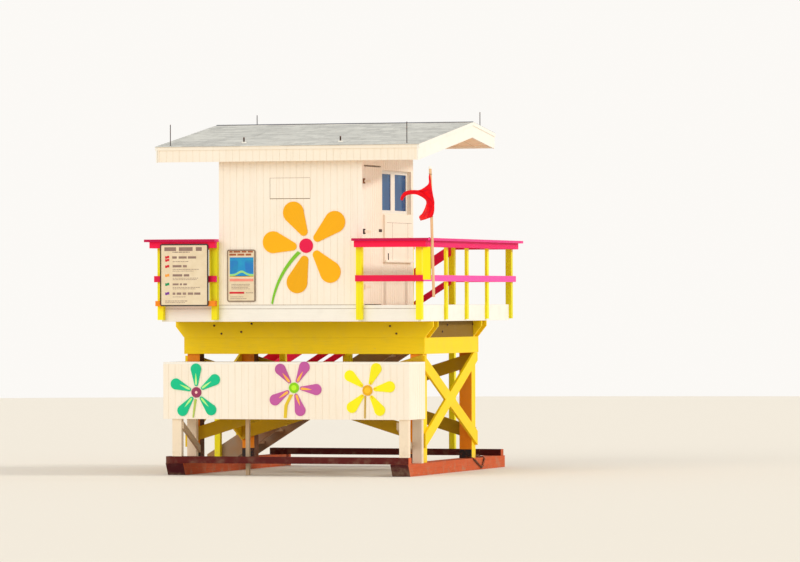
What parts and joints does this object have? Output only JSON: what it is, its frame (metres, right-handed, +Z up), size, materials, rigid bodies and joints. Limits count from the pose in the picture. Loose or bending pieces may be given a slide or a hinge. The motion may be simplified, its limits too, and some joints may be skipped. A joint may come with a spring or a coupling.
{
  "type": "beach lifeguard tower",
  "caption": "Timber beach lookout tower: hollow grooved-board cabin with a hinged door on a railed deck, raised on braced posts and sled skids, with a stair, locker and flag.",
  "frame": {"origin": "centre of the ground rectangle round the whole tower, at the underside of the skids", "axes": "+X to the right along the broad front, +Y from the front towards the stair behind, +Z up"},
  "size_m": [4.7472, 4.742, 5.272],
  "materials": {
    "skid_timber": "weathered timber with chipped paint",
    "rust_beam": "worn dark red paint",
    "yellow_frame": "semi-gloss yellow paint, worn",
    "dark_steel": "dull dark paint with rust",
    "raw_timber": "weathered bare timber",
    "white_board": "white exterior paint",
    "white_siding": "white exterior paint on grooved boards",
    "window_glass": "clear sheet",
    "roof_shingle": "matte mineral shingles",
    "yellow_post": "semi-gloss yellow paint",
    "red_rail": "semi-gloss red paint",
    "pink_cap": "semi-gloss pink paint, faded",
    "stair_timber": "weathered timber",
    "pole_timber": "worn varnish",
    "flag_cloth": "woven nylon",
    "notice_face": "satin sheet with printed bars",
    "orange_batten": "satin orange paint",
    "petal_orange": "bright exterior paint",
    "petal_bright": "bright exterior paint"
  },
  "bodies": {
    "tower": {"skids": "skid_timber", "cross_beams": "rust_beam", "main_posts": "yellow_frame", "post_shoes": "dark_steel", "cross_girders": "yellow_frame", "side_girders": "yellow_frame", "deck_beams": "yellow_frame", "side_beams": "yellow_frame", "deck_joists": "raw_timber", "deck_floor": "raw_timber", "landing_floor": "raw_timber", "end_skirts": "white_board", "side_skirts": "white_board", "rising_braces": "yellow_frame", "falling_braces": "yellow_frame", "end_braces": "yellow_frame", "front_wall": "white_siding", "left_wall": "white_siding", "back_wall": "white_siding", "right_wall": "white_siding", "door_header": "white_siding", "hinge_pins": "dark_steel", "hasp_staple": "dark_steel", "window_frames": "white_board", "window_panes": "window_glass", "window_shutters": "white_siding", "vent_hatch": "white_siding", "front_roof": "roof_shingle", "back_roof": "roof_shingle", "fascias": "white_board", "rakes": "white_board", "roof_rods": "dark_steel", "locker_box": "white_siding", "locker_lid": "white_board", "locker_legs": "white_board", "locker_braces": "raw_timber", "prop_stake": "raw_timber", "rail_posts": "yellow_post", "rail_boards": "red_rail", "cap_rails": "pink_cap", "stair_stringers": "stair_timber", "stair_treads": "stair_timber", "stair_rails": "red_rail", "stair_posts": "yellow_post", "flag_pole": "pole_timber", "pole_bracket": "yellow_post", "flag": "flag_cloth", "notices": "notice_face", "notice_batten": "orange_batten", "cabin_flower": "petal_orange", "locker_flowers": "petal_bright"},
    "door": {"door_leaf": "white_siding", "door_straps": "dark_steel", "door_hasp": "dark_steel"}
  },
  "joints": [
    {"name": "door_hinge", "type": "hinge", "parent": "tower", "child": "door", "pos_m": [1.2564, -2.038, 3.49], "axis": [0, 0, -1], "range_deg": [0, 90]}
  ]
}
